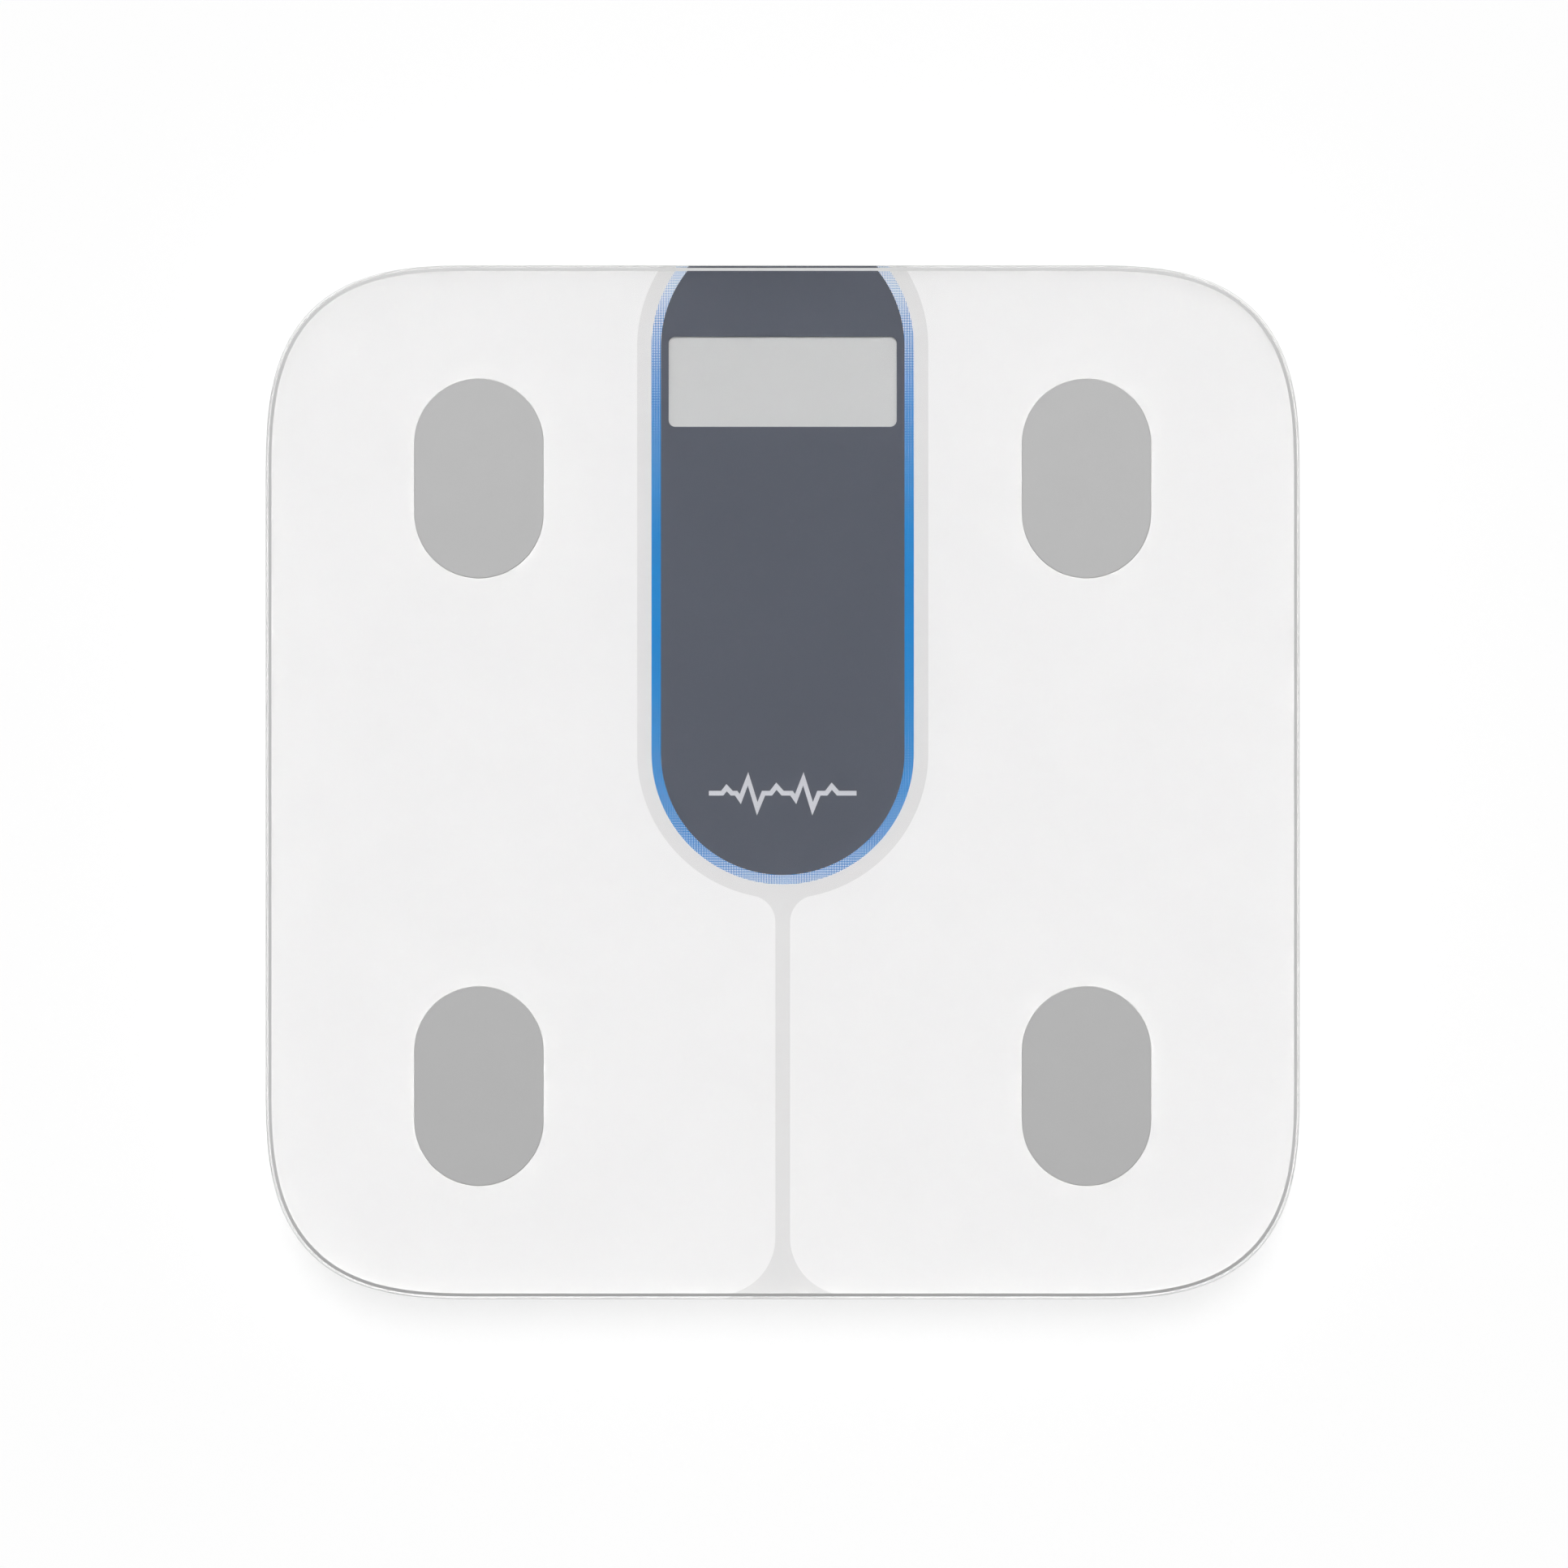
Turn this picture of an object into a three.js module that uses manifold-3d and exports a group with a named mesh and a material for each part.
// A digital bathroom scale: a glass platform on a moulded tray, carried by four weighing feet.
// Millimetres, +Z up. The origin is on the floor under the middle of the scale. The display is towards +Y,
// the toe end, and the heel end is towards -Y, as the user stands on it.

import * as THREE from "three";
import { mergeVertices } from "three/addons/utils/BufferGeometryUtils.js";
import Module from "manifold-3d";

const wasm = await Module();
wasm.setup();

// ---- Driving dimensions ----

// The platform is a square whose corners follow x^n + y^n = reach^n.
const PLATFORM_WIDTH = 280;
const CORNER_REACH = 59.25;
const CORNER_POWER = 3;
const CORNER_STEPS = 9;
const GLASS_CHAMFER = 0.8;

// The stack from the top down. Layers that lie on each other keep a small gap.
const HEIGHT = 25;
const LAYER_GAP = 0.1;
const ELECTRODE_THICKNESS = 0.4;
const GLASS_THICKNESS = 4.9;
const FILM_THICKNESS = 0.2;
const TAPE_THICKNESS = 0.5;
const GLASS_TOP = HEIGHT - ELECTRODE_THICKNESS - LAYER_GAP;
const GLASS_BOTTOM = GLASS_TOP - GLASS_THICKNESS;
const FILM_TOP = GLASS_BOTTOM - LAYER_GAP;
const FILM_BOTTOM = FILM_TOP - FILM_THICKNESS;
const TAPE_TOP = FILM_BOTTOM - LAYER_GAP;
const TAPE_BOTTOM = TAPE_TOP - TAPE_THICKNESS;
const SHELL_TOP = TAPE_BOTTOM - LAYER_GAP;

// The base shell is set back under the glass and rounds in towards its underside.
const SHELL_HALF = 137;
const SHELL_BOTTOM = 4.5;
const SHELL_SKIN = 2.2;
const SHELL_ROUND = 8;
const SHELL_FLOOR = SHELL_BOTTOM + SHELL_SKIN;
const FLANGE_WIDTH = 8;
const FLANGE_THICKNESS = 2.2;

// Electrodes: steel plates with round ends, each on a stud through the glass.
const ELECTRODE_WIDTH = 35;
const ELECTRODE_LENGTH = 54.1;
const ELECTRODE_AT = 82.2;
const STUD_RADIUS = 1.9;
const STUD_BOTTOM = 14.9;
const STUD_HOLE_RADIUS = 3;
const TERMINAL_RADIUS = 4.2;
const TERMINAL_THICKNESS = 0.6;
const TERMINAL_TOP = FILM_BOTTOM - 0.3;
const NUT_TOP = TERMINAL_TOP - TERMINAL_THICKNESS - 0.2;
const NUT_HEIGHT = 2.3;
const NUT_ACROSS_CORNERS = 6.4;

// Weighing feet. The gap between load cell and holder leaves room for the cell to bend under load.
const FOOT_AT = 100;
const FOOT_GIVE = 0.5;
const PAD_RADIUS = 13;
const PAD_TOP = 3;
const HOLDER_BOTTOM = PAD_TOP + LAYER_GAP;
const HOLDER_RADIUS = 20.8;
const HOLDER_FLANGE_RADIUS = 23.4;
const HOLDER_LEDGE = 6;
const HOLDER_TOP = 9.3;
const WELL_RADIUS = 24;
const WELL_WALL = 2;
const WELL_ROOF = 10.2;
const WELL_TOP = 12.2;
const CELL_SIDE = 28;
const CELL_BOTTOM = HOLDER_LEDGE + FOOT_GIVE + 0.3;
const CELL_TOP = CELL_BOTTOM + 2.2;
const CABLE_RADIUS = 1;
const CABLE_SLOT_WIDTH = 5;
const CABLE_HEIGHT = 8.2;

// Display, behind the window in the print.
const WINDOW_WIDTH = 61.8;
const WINDOW_LENGTH = 24.4;
const WINDOW_AT = 108.5;
const PANEL_WIDTH = 64;
const PANEL_LENGTH = 27;
const PANEL_BOTTOM = 14.9;
const DISPLAY_BOARD_BOTTOM = 13.6;
const DISPLAY_BOARD_THICKNESS = 1.2;
const BEZEL_WIDTH = 73.6;
const BEZEL_LENGTH = 36.6;

// Main board and the unit button under it.
const BOARD_WIDTH = 66;
const BOARD_LENGTH = 36;
const BOARD_AT = 48;
const BOARD_BOTTOM = 12.8;
const BOARD_THICKNESS = 1.6;
const BOARD_TOP = BOARD_BOTTOM + BOARD_THICKNESS;
const BOARD_SCREW_X = 29;
const BOARD_SCREW_Y = 14;
const SOCKET_TOP = BOARD_TOP + 2.6;
const BUTTON_X = 20;
const BUTTON_RADIUS = 4.4;
const BUTTON_TRAVEL = 0.8;
const SWITCH_PLUNGER_BOTTOM = 9;

// Battery bay, with three AAA cells side by side along X, and its door.
const CELLS = 3;
const BATTERY_RADIUS = 5.25;
const BATTERY_BODY = 43.5;
const BATTERY_LENGTH = 44.5;
const BATTERY_PITCH = 11.1;
const BATTERY_Z = 12.4;
const BAY_AT = -12;
const BAY_WIDTH = 52.4;
const BAY_LENGTH = 33.9;
const BAY_WALL = 1.6;
const BAY_ROOF = 17.9;
const BAY_TOP = 18.6;
const CONTACT_THICKNESS = 0.4;
const DOOR_WIDTH = 60;
const DOOR_LENGTH = 41;
const DOOR_THICKNESS = 2.4;
const DOOR_CLEARANCE = 0.3;
const DOOR_TAB_WIDTH = 14;
const DOOR_TAB_LENGTH = 3;
const DOOR_PIN_RADIUS = 0.7;
const DOOR_PIN_LENGTH = 1.8;
const DOOR_Z = SHELL_BOTTOM + DOOR_THICKNESS / 2;
const DOOR_HINGE_Y = BAY_AT + DOOR_LENGTH / 2 - DOOR_THICKNESS / 2;
const BAY_PLATE_TOP = 9;

// ---- Helpers ----

const CENTRE = new THREE.Vector2();

// A square of the given half width with superelliptic corners, which stay parallel to the platform's.
function softSquare(half) {
  const reach = CORNER_REACH - (PLATFORM_WIDTH / 2 - half);
  const points = [];
  for (let quarter = 0; quarter < 4; quarter++) {
    for (let step = 0; step <= CORNER_STEPS; step++) {
      const angle = (step / CORNER_STEPS) * (Math.PI / 2);
      const [c, s] = [Math.cos(angle), Math.sin(angle)];
      const radius = reach / (c ** CORNER_POWER + s ** CORNER_POWER) ** (1 / CORNER_POWER);
      const point = new THREE.Vector2(radius * c, radius * s).addScalar(half - reach);
      points.push(point.rotateAround(CENTRE, (quarter * Math.PI) / 2));
    }
  }
  return new THREE.Shape(points);
}

// A rectangle with round corners, centred on (x, y), with the given steps to each corner.
function roundRect(width, length, radius, x = 0, y = 0, steps = 6) {
  const points = [];
  for (let quarter = 0; quarter < 4; quarter++) {
    const cornerX = (quarter === 0 || quarter === 3 ? 1 : -1) * (width / 2 - radius);
    const cornerY = (quarter < 2 ? 1 : -1) * (length / 2 - radius);
    for (let step = 0; step <= steps; step++) {
      const angle = ((quarter + step / steps) * Math.PI) / 2;
      points.push(
        new THREE.Vector2(x + cornerX + radius * Math.cos(angle), y + cornerY + radius * Math.sin(angle)),
      );
    }
  }
  return new THREE.Shape(points);
}

// A regular outline: a circle of few sides, or a hexagon.
function ring(radius, sides, x = 0, y = 0) {
  const points = [];
  for (let i = 0; i < sides; i++) {
    const angle = (i / sides) * 2 * Math.PI;
    points.push(new THREE.Vector2(x + radius * Math.cos(angle), y + radius * Math.sin(angle)));
  }
  return new THREE.Shape(points);
}

// The outline standing up from one height to another, with holes through it.
function prism(outline, bottom, top, holes = []) {
  outline.holes.push(...holes);
  const depth = top - bottom;
  return new THREE.ExtrudeGeometry(outline, { depth, bevelEnabled: false }).translate(0, 0, bottom);
}

// A slab whose top and bottom edges are rounded or, with one segment, chamfered.
function bevelledSlab(outline, bottom, top, bevel, bevelSegments) {
  return new THREE.ExtrudeGeometry(outline, {
    depth: top - bottom - 2 * bevel,
    bevelThickness: bevel,
    bevelSize: bevel,
    bevelOffset: -bevel,
    bevelSegments,
  }).translate(0, 0, bottom + bevel);
}

function block(width, length, bottom, top, x = 0, y = 0) {
  const geometry = new THREE.BoxGeometry(width, length, top - bottom);
  return geometry.translate(x, y, (bottom + top) / 2);
}

function post(radius, bottom, top, x = 0, y = 0, sides = 24) {
  return prism(ring(radius, sides, x, y), bottom, top);
}

// A turned piece. The profile runs from the axis at the bottom to the axis at the top, as [radius, height].
function turned(profile, sides) {
  const points = profile.map(([radius, height]) => new THREE.Vector2(radius, height));
  return new THREE.LatheGeometry(points, sides).rotateX(Math.PI / 2);
}

// A round wire along a smooth curve through the points.
function wire(points, radius, sides, steps) {
  const route = new THREE.CatmullRomCurve3(points.map((p) => new THREE.Vector3(...p)), false, "centripetal");
  return new THREE.ExtrudeGeometry(ring(radius, sides), { extrudePath: route, steps, bevelEnabled: false });
}

function solidOf(geometry) {
  const plain = geometry.clone();
  plain.deleteAttribute("normal");
  plain.deleteAttribute("uv");
  const merged = mergeVertices(plain, 1e-4);
  return new wasm.Manifold(
    new wasm.Mesh({
      numProp: 3,
      vertProperties: Float32Array.from(merged.attributes.position.array),
      triVerts: Uint32Array.from(merged.index.array),
    }),
  );
}

function geometryOf(solid) {
  const mesh = solid.getMesh();
  const geometry = new THREE.BufferGeometry();
  geometry.setAttribute("position", new THREE.BufferAttribute(mesh.vertProperties, 3));
  geometry.setIndex(new THREE.BufferAttribute(mesh.triVerts, 1));
  geometry.computeVertexNormals();
  return geometry;
}

const joined = (geometries) => geometries.map(solidOf).reduce((a, b) => a.add(b));

const carved = (solid, geometries) => solid.subtract(joined(geometries));

const scale = new THREE.Group();

function addPart(name, geometry, [color, roughness, metalness], position = [0, 0, 0], turn = 0) {
  const material = new THREE.MeshStandardMaterial({ color, roughness, metalness });
  const mesh = new THREE.Mesh(geometry, material);
  mesh.name = name;
  mesh.position.set(...position);
  mesh.rotation.z = turn;
  scale.add(mesh);
}

// Calls make with the corner's name and its signs along X and Y.
function forEachCorner(make) {
  for (const [side, sx] of [["left", -1], ["right", 1]]) {
    for (const [end, sy] of [["toe", 1], ["heel", -1]]) {
      make(`${side}_${end}`, sx, sy);
    }
  }
}

const cornersAt = (distance) => [1, -1].flatMap((sx) => [1, -1].map((sy) => [sx * distance, sy * distance]));

// ---- Finishes: colour, roughness, metalness ----

const GLASS = ["#e8efee", 0.05, 0];
const WHITE_FILM = ["#f0f0f0", 0.5, 0];
const TAPE = ["#d9d9d6", 0.9, 0];
const WHITE_PLASTIC = ["#eceded", 0.45, 0];
const BLACK_PLASTIC = ["#2a2b2e", 0.5, 0];
const STEEL = ["#b8b8b8", 0.35, 1];
const NICKEL = ["#c9c8c4", 0.3, 1];
const CELL_STEEL = ["#9a9c9e", 0.4, 1];
const RUBBER = ["#8f9193", 0.85, 0];
const DISPLAY = ["#cccccc", 0.3, 0];
const BOARD_GREEN = ["#1f6b43", 0.5, 0];
const BATTERY_SLEEVE = ["#3b4a5c", 0.35, 0.2];
const LABEL = ["#f4f4f2", 0.6, 0];
const SIGNAL_WIRE = ["#d6d6d6", 0.6, 0];
const RED_WIRE = ["#b3322b", 0.6, 0];
const BLACK_WIRE = ["#222222", 0.6, 0];

// ---- Platform ----

function addPlatform() {
  const glass = softSquare(PLATFORM_WIDTH / 2);
  glass.holes.push(...cornersAt(ELECTRODE_AT).map(([x, y]) => ring(STUD_HOLE_RADIUS, 16, x, y)));
  addPart("glass_platform", bevelledSlab(glass, GLASS_BOTTOM, GLASS_TOP, GLASS_CHAMFER, 1), GLASS);

  const filmHoles = cornersAt(ELECTRODE_AT).map(([x, y]) => ring(STUD_HOLE_RADIUS, 16, x, y));
  filmHoles.push(roundRect(WINDOW_WIDTH, WINDOW_LENGTH, 1.8, 0, WINDOW_AT));
  const film = prism(softSquare(PLATFORM_WIDTH / 2 - 1), FILM_BOTTOM, FILM_TOP, filmHoles);
  addPart("printed_film", film, WHITE_FILM);

  const tapeInside = softSquare(SHELL_HALF - FLANGE_WIDTH + 0.5);
  const tape = prism(softSquare(SHELL_HALF - 0.7), TAPE_BOTTOM, TAPE_TOP, [tapeInside]);
  addPart("mounting_tape", tape, TAPE);
}

function electrode() {
  const plate = roundRect(ELECTRODE_WIDTH, ELECTRODE_LENGTH, ELECTRODE_WIDTH / 2, 0, 0, 10);
  return geometryOf(
    joined([
      prism(plate, HEIGHT - ELECTRODE_THICKNESS, HEIGHT),
      post(STUD_RADIUS, STUD_BOTTOM, HEIGHT - ELECTRODE_THICKNESS / 2, 0, 0, 12),
    ]),
  );
}

function nut() {
  return prism(ring(NUT_ACROSS_CORNERS / 2, 6), NUT_TOP - NUT_HEIGHT, NUT_TOP, [ring(STUD_RADIUS + 0.2, 8)]);
}

// A ring terminal round the stud, with its wire to a socket on the main board.
function electrodeLead(sx, sy) {
  const terminalZ = TERMINAL_TOP - TERMINAL_THICKNESS / 2;
  const [x, y] = [ELECTRODE_AT, ELECTRODE_AT];
  const terminal = prism(ring(TERMINAL_RADIUS, 12), TERMINAL_TOP - TERMINAL_THICKNESS, TERMINAL_TOP, [
    ring(STUD_RADIUS + 0.3, 8),
  ]).translate(sx * x, sy * y, 0);
  const toeRoute = [[x - 3.7, y, terminalZ], [x - 8, y - 1, 17.9], [57, 75, 16.8], [38, 71.5, 16.5],
    [26, 69.5, 16], [24, 66.5, 15.7]];
  const heelRoute = [[x - 3.7, -y, terminalZ], [x - 8, 2 - y, 17.9], [60, -52, 16.6], [48, -10, 16.6],
    [36, 16, 16.4], [26, 25, 16], [24, 29.5, 15.7]];
  const route = (sy > 0 ? toeRoute : heelRoute).map(([px, py, pz]) => [sx * px, py, pz]);
  return geometryOf(joined([terminal, wire(route, 0.6, 6, 13)]));
}

function addElectrodes() {
  forEachCorner((corner, sx, sy) => {
    const place = [sx * ELECTRODE_AT, sy * ELECTRODE_AT, 0];
    addPart(`electrode_${corner}`, electrode(), STEEL, place);
    addPart(`electrode_nut_${corner}`, nut(), NICKEL, place);
    addPart(`electrode_lead_${corner}`, electrodeLead(sx, sy), sx > 0 ? RED_WIRE : BLACK_WIRE);
  });
}

// ---- Base shell ----

function shellSkin() {
  const height = SHELL_TOP - SHELL_BOTTOM;
  const inside = SHELL_HALF - SHELL_SKIN;
  const insideRound = SHELL_ROUND - SHELL_SKIN;
  const outer = bevelledSlab(softSquare(SHELL_HALF), SHELL_BOTTOM, SHELL_TOP + height, SHELL_ROUND, 3);
  const cavity = bevelledSlab(softSquare(inside), SHELL_FLOOR, SHELL_TOP + height, insideRound, 2);
  const above = block(2 * PLATFORM_WIDTH, 2 * PLATFORM_WIDTH, SHELL_TOP, SHELL_TOP + 2 * height);
  const flange = prism(softSquare(SHELL_HALF - SHELL_SKIN / 2), SHELL_TOP - FLANGE_THICKNESS, SHELL_TOP, [
    softSquare(SHELL_HALF - FLANGE_WIDTH),
  ]);
  return carved(solidOf(outer), [cavity, above]).add(solidOf(flange));
}

function shellRibs() {
  const [thickness, bottom, top, reach] = [1.6, SHELL_FLOOR - 0.2, SHELL_FLOOR + 3, 266];
  return [
    ...[-62, 18, 78].map((y) => block(reach, thickness, bottom, top, 0, y)),
    ...[-50, 50].map((x) => block(thickness, reach, bottom, top, x, 0)),
  ];
}

// The plain recess that the door lies in, larger than the door by its clearance all round.
function doorRecess() {
  const [width, length] = [DOOR_WIDTH + 2 * DOOR_CLEARANCE, DOOR_LENGTH + 2 * DOOR_CLEARANCE];
  const depth = SHELL_BOTTOM + DOOR_THICKNESS + 0.2;
  const tabY = BAY_AT - DOOR_LENGTH / 2 - DOOR_TAB_LENGTH / 2;
  const tabWidth = DOOR_TAB_WIDTH + 2 * DOOR_CLEARANCE;
  const socketRadius = DOOR_PIN_RADIUS + 0.25;
  const socketLength = DOOR_WIDTH + 2 * (DOOR_PIN_LENGTH + DOOR_CLEARANCE);
  return [
    block(width, length, 0, depth, 0, BAY_AT),
    block(tabWidth, DOOR_TAB_LENGTH + 2 * DOOR_CLEARANCE, 0, depth, 0, tabY),
    post(8, 0, SHELL_BOTTOM + 1.4, 0, tabY - 1, 20),
    hingeRod(socketRadius, socketLength),
  ];
}

// A rod along X on the door's hinge line.
function hingeRod(radius, length) {
  return post(radius, -length / 2, length / 2, 0, 0, 16)
    .rotateY(Math.PI / 2)
    .translate(0, DOOR_HINGE_Y, DOOR_Z);
}

function baseShell() {
  const wells = cornersAt(FOOT_AT);
  const outerRadius = WELL_RADIUS + WELL_WALL;
  const bosses = cornersAt(1).map(([sx, sy]) => [sx * BOARD_SCREW_X, BOARD_AT + sy * BOARD_SCREW_Y]);
  const added = joined([
    ...shellRibs(),
    ...wells.map(([x, y]) => post(outerRadius, SHELL_FLOOR - 0.2, WELL_TOP, x, y, 20)),
    ...bosses.map(([x, y]) => post(2.8, SHELL_FLOOR - 0.2, BOARD_BOTTOM - LAYER_GAP, x, y, 10)),
    block(BAY_WIDTH + 2 * BAY_WALL, BAY_LENGTH + 2 * BAY_WALL, SHELL_FLOOR, BAY_TOP, 0, BAY_AT),
    block(DOOR_WIDTH + 7, DOOR_LENGTH + 20, SHELL_FLOOR - 0.2, BAY_PLATE_TOP, 0, BAY_AT - 7),
  ]);
  const slot = (x, y) =>
    block(8, CABLE_SLOT_WIDTH, SHELL_FLOOR, WELL_ROOF, x - Math.sign(x) * WELL_RADIUS, y);
  const removed = [
    ...wells.map(([x, y]) => post(WELL_RADIUS, SHELL_FLOOR, WELL_ROOF, x, y, 20)),
    ...wells.map(([x, y]) => post(HOLDER_RADIUS + 0.6, 0, SHELL_FLOOR + 1, x, y, 20)),
    ...wells.map(([x, y]) => slot(x, y)),
    ...bosses.map(([x, y]) => post(1.3, SHELL_FLOOR + 1, BOARD_BOTTOM, x, y, 8)),
    block(BAY_WIDTH, BAY_LENGTH, 0, BAY_ROOF, 0, BAY_AT),
    ...doorRecess(),
    ...[1, -1].map((side) => contactTab(side, 0.3)),
    post(BUTTON_RADIUS + 0.4, 0, SHELL_FLOOR + 1, BUTTON_X, BOARD_AT),
  ];
  const pressers = wells.map(([x, y]) => post(4, CELL_TOP + 0.3, WELL_ROOF + 0.5, x, y, 12));
  return geometryOf(carved(shellSkin().add(added), removed).add(joined(pressers)));
}

// ---- Weighing feet ----

function footPad() {
  return turned([[0, 0], [PAD_RADIUS - 1, 0], [PAD_RADIUS, 0.8], [PAD_RADIUS, PAD_TOP], [0, PAD_TOP]], 24);
}

// A cup that carries the load cell's frame on a ledge, with a flange that keeps it in its well.
function footHolder() {
  const cupRadius = 18.6;
  const ledgeRadius = 14.5;
  const cup = turned(
    [
      [0, HOLDER_BOTTOM],
      [HOLDER_RADIUS - 2, HOLDER_BOTTOM],
      [HOLDER_RADIUS, HOLDER_BOTTOM + 1.6],
      [HOLDER_RADIUS, SHELL_FLOOR + 0.4],
      [HOLDER_FLANGE_RADIUS, SHELL_FLOOR + 0.4],
      [HOLDER_FLANGE_RADIUS, HOLDER_TOP],
      [cupRadius, HOLDER_TOP],
      [cupRadius, HOLDER_LEDGE],
      [ledgeRadius, HOLDER_LEDGE],
      [ledgeRadius, HOLDER_BOTTOM + 1.8],
      [0, HOLDER_BOTTOM + 1.8],
    ],
    20,
  );
  const slot = block(10, CABLE_SLOT_WIDTH, HOLDER_LEDGE + 0.1, HOLDER_TOP + 1, HOLDER_RADIUS, 0);
  return geometryOf(carved(solidOf(cup), [slot]));
}

// A square steel plate with a U-shaped slot that frees its middle tongue, and a sealed gauge on the neck.
function loadCell() {
  const [half, neck, tip, width] = [5, 7, -7, 1.6];
  const slot = new THREE.Shape([
    new THREE.Vector2(-half - width, neck),
    new THREE.Vector2(-half - width, tip - width),
    new THREE.Vector2(half + width, tip - width),
    new THREE.Vector2(half + width, neck),
    new THREE.Vector2(half, neck),
    new THREE.Vector2(half, tip),
    new THREE.Vector2(-half, tip),
    new THREE.Vector2(-half, neck),
  ]);
  const plate = prism(roundRect(CELL_SIDE, CELL_SIDE, 5), CELL_BOTTOM, CELL_TOP, [slot]);
  const gauge = block(9, 4.5, CELL_TOP - 0.2, CELL_TOP + 0.7, 0, neck + 3);
  return geometryOf(joined([plate, gauge]));
}

// From the load cell's edge through the two slots, over the ribs, to a socket on the main board's side.
function loadCellCable(sx, sy) {
  const start = FOOT_AT - CELL_SIDE / 2 - 0.4;
  const exit = [[start, CABLE_HEIGHT], [start - 6, CABLE_HEIGHT], [start - 13, CABLE_HEIGHT + 0.2]];
  const toeEnd = [[62, 88, 11.5], [50, 68, 13.2], [41, 57.5, 15.7], [34, 56, 15.7]];
  const heelEnd = [[62, -89, 11.5], [50, -50, 12], [42, 0, 12], [41, 28, 14.5], [38, 38.5, 15.7],
    [34, 40, 15.7]];
  const route = [
    ...exit.map(([x, z]) => [sx * x, sy * FOOT_AT, z]),
    ...(sy > 0 ? toeEnd : heelEnd).map(([x, y, z]) => [sx * x, y, z]),
  ];
  return wire(route, CABLE_RADIUS, 6, 17);
}

function addFeet() {
  forEachCorner((corner, sx, sy) => {
    const place = [sx * FOOT_AT, sy * FOOT_AT, 0];
    const turn = sx > 0 ? Math.PI : 0;
    addPart(`foot_pad_${corner}`, footPad(), RUBBER, place);
    addPart(`foot_holder_${corner}`, footHolder(), WHITE_PLASTIC, place, turn);
    addPart(`load_cell_${corner}`, loadCell(), CELL_STEEL, place, turn);
    addPart(`load_cell_cable_${corner}`, loadCellCable(sx, sy), SIGNAL_WIRE);
  });
}

// ---- Display ----

function addDisplay() {
  const boardTop = DISPLAY_BOARD_BOTTOM + DISPLAY_BOARD_THICKNESS;
  const frame = () => roundRect(BEZEL_WIDTH, BEZEL_LENGTH, 2, 0, WINDOW_AT, 3);
  const opening = (clearance) =>
    roundRect(PANEL_WIDTH + clearance, PANEL_LENGTH + clearance, 0.5, 0, WINDOW_AT, 1);
  const panel = roundRect(PANEL_WIDTH, PANEL_LENGTH, 1, 0, WINDOW_AT, 2);
  const board = roundRect(BEZEL_WIDTH - 1.6, BEZEL_LENGTH - 1.6, 1, 0, WINDOW_AT, 2);
  const bezel = prism(frame(), boardTop + LAYER_GAP, TAPE_TOP - LAYER_GAP, [opening(0.8)]);
  const bracket = prism(frame(), SHELL_FLOOR + LAYER_GAP, DISPLAY_BOARD_BOTTOM - LAYER_GAP, [opening(3)]);
  addPart("display_panel", prism(panel, PANEL_BOTTOM, TAPE_TOP - LAYER_GAP), DISPLAY);
  addPart("display_board", prism(board, DISPLAY_BOARD_BOTTOM, boardTop), BOARD_GREEN);
  addPart("display_bezel", bezel, BLACK_PLASTIC);
  addPart("display_bracket", bracket, BLACK_PLASTIC);
  addPart("display_ribbon", displayRibbon(), SIGNAL_WIRE);
}

// A flat cable from the display board's edge down and across to the main board's socket.
function displayRibbon() {
  const [width, half] = [14, 0.15];
  const start = WINDOW_AT - BEZEL_LENGTH / 2 + 0.4;
  const end = BOARD_AT + BOARD_LENGTH / 2 + 0.4;
  const line = [[start, 14.2], [start - 4, 14.6], [start - 12, 16.2], [end + 5, 16.2], [end, 15.8]];
  const side = (offset) => line.map(([y, z]) => new THREE.Vector2(y, z + offset));
  const profile = new THREE.Shape([...side(-half), ...side(half).reverse()]);
  return new THREE.ExtrudeGeometry(profile, { depth: width, bevelEnabled: false })
    .rotateY(Math.PI / 2)
    .rotateX(Math.PI / 2)
    .translate(-width / 2, 0, 0);
}

// ---- Main board ----

function mainBoard() {
  const screwHoles = cornersAt(1).map(([sx, sy]) => {
    return ring(1.4, 8, sx * BOARD_SCREW_X, BOARD_AT + sy * BOARD_SCREW_Y);
  });
  const outline = roundRect(BOARD_WIDTH, BOARD_LENGTH, 1.5, 0, BOARD_AT, 2);
  const board = prism(outline, BOARD_BOTTOM, BOARD_TOP, screwHoles);
  const bottom = BOARD_TOP - 0.2;
  const [right, upper, lower] = [BOARD_WIDTH / 2, BOARD_AT + BOARD_LENGTH / 2, BOARD_AT - BOARD_LENGTH / 2];
  const bySide = [1, -1].flatMap((sx) => [
    block(4, 6, bottom, SOCKET_TOP, sx * (right - 2), BOARD_AT + 8),
    block(4, 6, bottom, SOCKET_TOP, sx * (right - 2), BOARD_AT - 8),
    block(4, 3.5, bottom, SOCKET_TOP, sx * 22, upper - 1.75),
    block(4, 3.5, bottom, SOCKET_TOP, sx * 22, lower + 1.75),
  ]);
  const others = [
    block(16, 4, bottom, SOCKET_TOP, 0, upper - 2),
    block(10, 3.5, bottom, SOCKET_TOP, 0, lower + 1.75),
    block(10, 10, bottom, BOARD_TOP + 1.2, -6, BOARD_AT + 1),
    block(6, 5, bottom, BOARD_TOP + 1, 8, BOARD_AT - 2),
    block(3, 8, bottom, BOARD_TOP + 3, 17, BOARD_AT + 2),
  ];
  return geometryOf(joined([board, ...bySide, ...others]));
}

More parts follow.
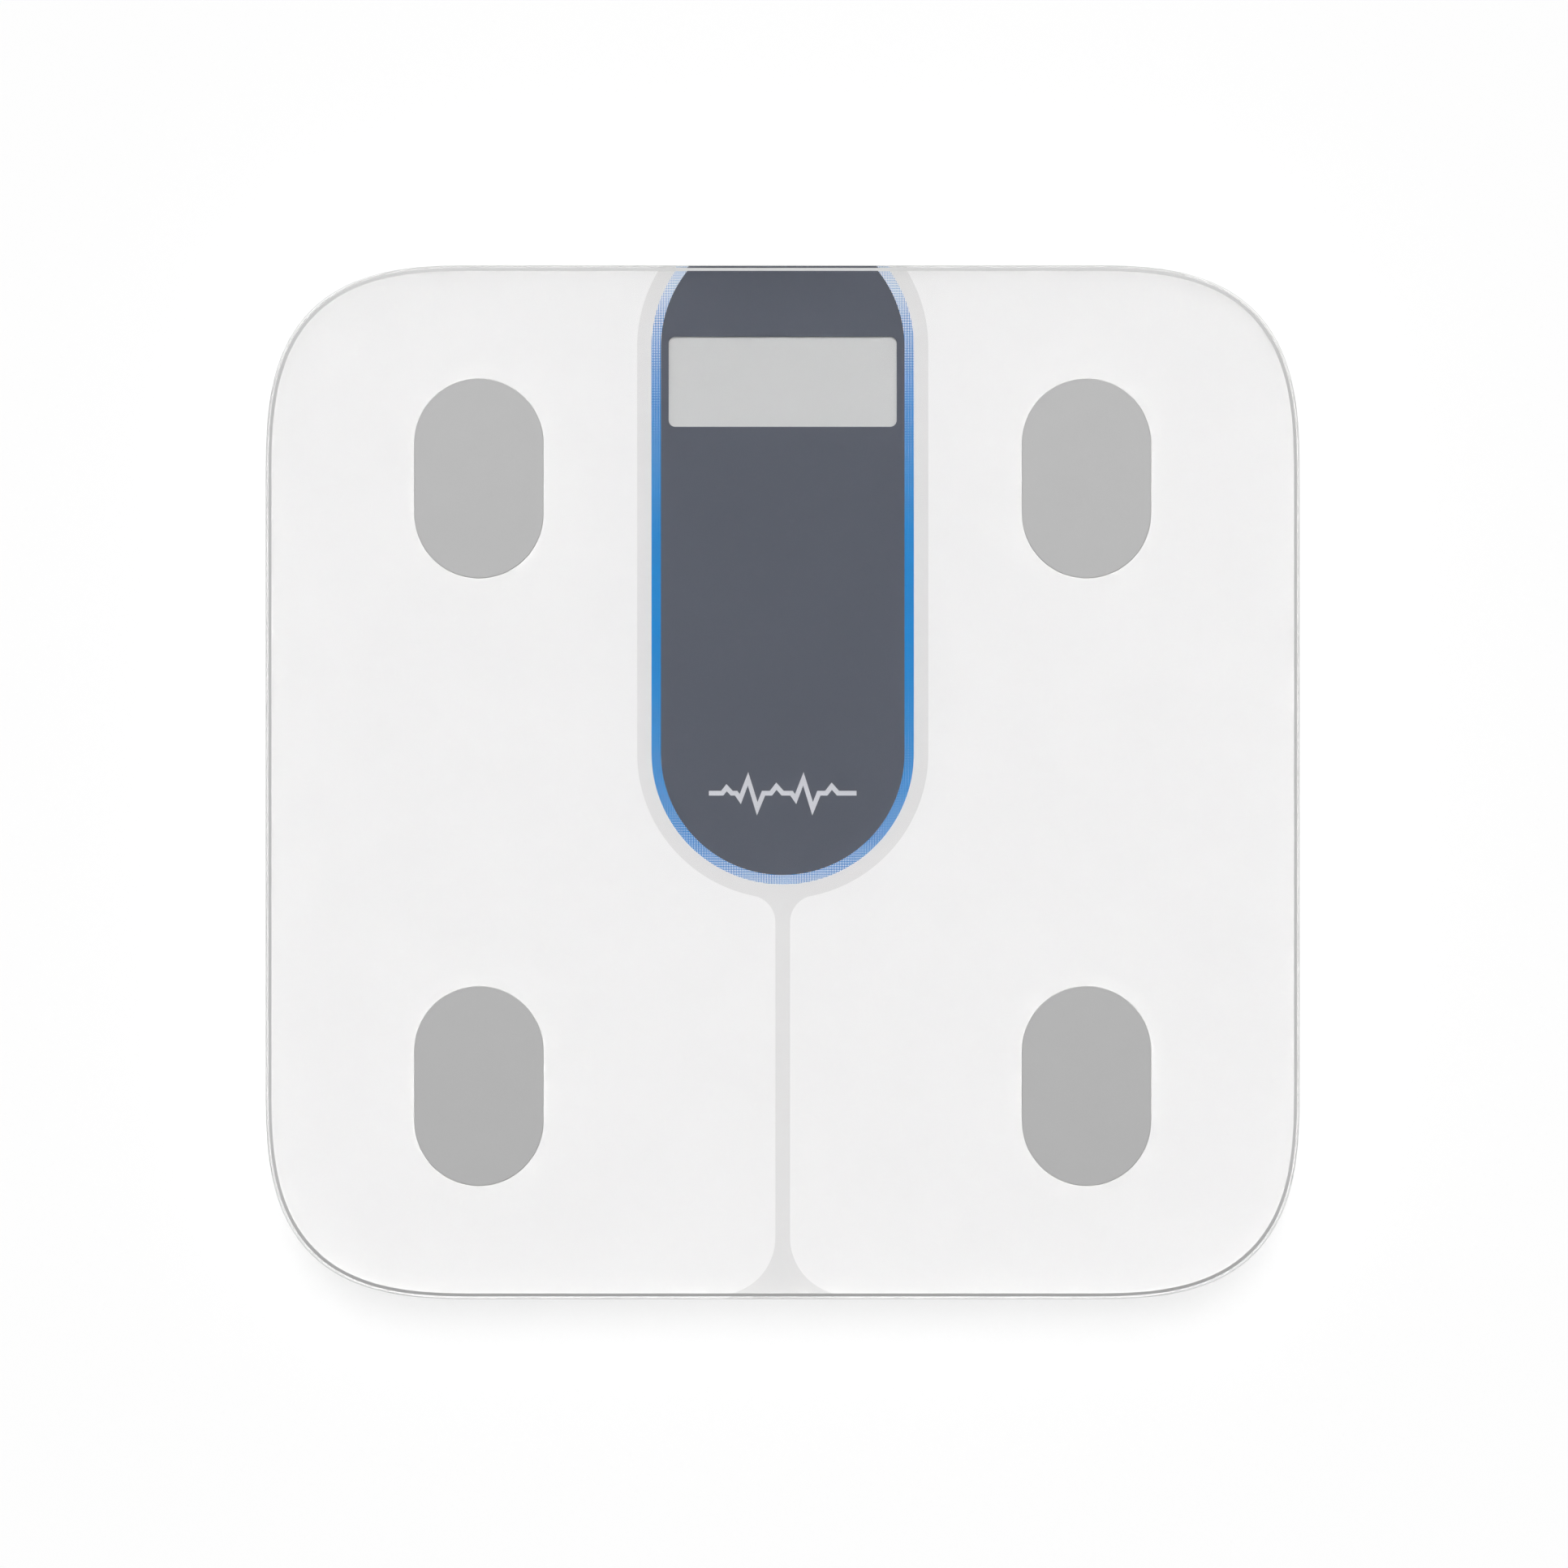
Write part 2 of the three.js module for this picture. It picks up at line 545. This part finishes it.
function boardScrew() {
  const head = BOARD_TOP + LAYER_GAP;
  return turned([[0, SHELL_FLOOR + 1.5], [1, SHELL_FLOOR + 2.2], [1, head], [2.4, head], [2.4, head + 0.8],
    [1.7, head + 1.4], [0, head + 1.4]], 8);
}

function unitSwitch() {
  const top = BOARD_BOTTOM - LAYER_GAP;
  const body = block(6, 6, SWITCH_PLUNGER_BOTTOM + 0.8, top, BUTTON_X, BOARD_AT);
  const plunger = post(1.6, SWITCH_PLUNGER_BOTTOM, SWITCH_PLUNGER_BOTTOM + 1, BUTTON_X, BOARD_AT, 14);
  return geometryOf(joined([body, plunger]));
}

// A round cap level with the underside, with a flange inside the shell that keeps it in.
function unitButton() {
  const flange = SHELL_FLOOR + 0.2;
  const top = SWITCH_PLUNGER_BOTTOM - BUTTON_TRAVEL - 0.3;
  return turned([[0, SHELL_BOTTOM + 0.2], [BUTTON_RADIUS - 0.5, SHELL_BOTTOM + 0.2],
    [BUTTON_RADIUS, SHELL_BOTTOM + 0.7], [BUTTON_RADIUS, flange], [6, flange], [6, top - 0.3],
    [1.8, top - 0.3], [1.8, top], [0, top]], 16);
}

function addElectronics() {
  addPart("main_board", mainBoard(), BOARD_GREEN);
  cornersAt(1).forEach(([sx, sy], i) => {
    const place = [sx * BOARD_SCREW_X, BOARD_AT + sy * BOARD_SCREW_Y, 0];
    addPart(`board_screw_${i + 1}`, boardScrew(), NICKEL, place);
  });
  addPart("unit_switch", unitSwitch(), BLACK_PLASTIC);
  addPart("unit_button", unitButton(), BLACK_PLASTIC, [BUTTON_X, BOARD_AT, 0]);
}

// ---- Battery bay ----

const batteryY = (i) => BAY_AT + (1 - i) * BATTERY_PITCH;
const contactX = BAY_WIDTH / 2 - 0.2 - CONTACT_THICKNESS / 2;
const springLength = 2 * contactX - CONTACT_THICKNESS - BATTERY_LENGTH - 0.6;

// An AAA cell along X with its cap towards +X, its ends the same distance from the middle of the bay.
function battery() {
  const [start, end] = [-BATTERY_LENGTH / 2, BATTERY_LENGTH / 2];
  const shoulder = start + BATTERY_BODY;
  return turned([[0, start], [BATTERY_RADIUS - 0.4, start], [BATTERY_RADIUS, start + 0.4],
    [BATTERY_RADIUS, shoulder - 0.4], [BATTERY_RADIUS - 0.4, shoulder], [1.9, shoulder], [1.9, end],
    [0, end]], 16)
    .rotateY(Math.PI / 2)
    .translate(springLength / 2, 0, BATTERY_Z);
}

// A coil along X that narrows from its contact plate to its free end.
class Coil extends THREE.Curve {
  constructor(length, baseRadius, tipRadius, turns) {
    super();
    Object.assign(this, { length, baseRadius, tipRadius, turns });
  }

  getPoint(t, target = new THREE.Vector3()) {
    const angle = t * this.turns * 2 * Math.PI;
    const radius = THREE.MathUtils.lerp(this.baseRadius, this.tipRadius, t);
    return target.set(t * this.length, radius * Math.cos(angle), radius * Math.sin(angle));
  }
}

function contactSpring(y, side) {
  const coil = new Coil(springLength - 0.3, 3.6, 2.2, 3.5);
  const shape = { extrudePath: coil, steps: 28, bevelEnabled: false };
  const spring = new THREE.ExtrudeGeometry(ring(0.3, 5), shape);
  if (side > 0) spring.rotateZ(Math.PI);
  return spring.translate(side * contactX, y, BATTERY_Z);
}

const contactPlate = (side, y, length) =>
  block(CONTACT_THICKNESS, length, BATTERY_Z - 4, BATTERY_Z + 4, side * contactX, y);

// The solder tab that an end contact puts out through the bay's wall, or the slot for it with a clearance.
function contactTab(side, clearance = 0) {
  const reach = 6 + clearance;
  const y = side > 0 ? batteryY(CELLS - 1) : batteryY(0);
  return block(reach, 3 + 2 * clearance, BATTERY_Z - 0.6 - clearance, BATTERY_Z + clearance,
    side * (contactX + reach / 2), y);
}

function batteryLead(side) {
  const [x, y, z] = [contactX + 7, side > 0 ? batteryY(CELLS - 1) : batteryY(0), BATTERY_Z - 0.3];
  const end = side > 0 ? 3 : -3;
  const route = [[side * x, y, z], [side * (x + 1.4), y + 5, z], [side * (x + 1.2), BAY_AT + 20, z],
    [side * 24, BAY_AT + 31, z], [side * 10, BAY_AT + 37, 14.5], [end, BAY_AT + 41.5, 15.7]];
  return wire(route, 0.6, 6, 14);
}

function addBatteryBay() {
  const [first, second, third] = [0, 1, 2].map(batteryY);
  const pairLength = 2 * BATTERY_PITCH - 2;
  for (let i = 0; i < CELLS; i++) {
    const turn = i % 2 ? 0 : Math.PI;
    addPart(`battery_${i + 1}`, battery(), BATTERY_SLEEVE, [0, batteryY(i), 0], turn);
  }
  const positive = joined([contactPlate(-1, first, 9), contactTab(-1)]);
  const negative = joined([contactPlate(1, third, 9), contactSpring(third, 1), contactTab(1)]);
  const leftBridge = joined([contactPlate(-1, (second + third) / 2, pairLength), contactSpring(second, -1)]);
  const rightBridge = joined([contactPlate(1, (first + second) / 2, pairLength), contactSpring(first, 1)]);
  addPart("contact_positive", geometryOf(positive), NICKEL);
  addPart("contact_negative", geometryOf(negative), NICKEL);
  addPart("contact_bridge_left", geometryOf(leftBridge), NICKEL);
  addPart("contact_bridge_right", geometryOf(rightBridge), NICKEL);
  addPart("battery_lead_positive", batteryLead(-1), RED_WIRE);
  addPart("battery_lead_negative", batteryLead(1), BLACK_WIRE);
}

// A flat lid with a half-round hinge edge, moulded pins at that edge and a finger tab at the other.
function batteryDoor() {
  const length = DOOR_HINGE_Y - (BAY_AT - DOOR_LENGTH / 2);
  const top = SHELL_BOTTOM + DOOR_THICKNESS;
  return geometryOf(
    joined([
      block(DOOR_WIDTH, length, SHELL_BOTTOM, top, 0, DOOR_HINGE_Y - length / 2),
      hingeRod(DOOR_THICKNESS / 2, DOOR_WIDTH),
      hingeRod(DOOR_PIN_RADIUS, DOOR_WIDTH + 2 * DOOR_PIN_LENGTH),
      block(DOOR_TAB_WIDTH, DOOR_TAB_LENGTH + 1, SHELL_BOTTOM + 0.6, top, 0,
        BAY_AT - DOOR_LENGTH / 2 - DOOR_TAB_LENGTH / 2 + 0.5),
    ]),
  );
}

function addRatingLabel() {
  const outline = roundRect(70, 26, 2, 0, -82, 3);
  addPart("rating_label", prism(outline, SHELL_BOTTOM - 0.25, SHELL_BOTTOM - 0.05), LABEL);
}

// ---- The scale ----

addPlatform();
addElectrodes();
addPart("base_shell", baseShell(), WHITE_PLASTIC);
addFeet();
addDisplay();
addElectronics();
addBatteryBay();
addPart("battery_door", batteryDoor(), WHITE_PLASTIC);
addRatingLabel();

export default scale;
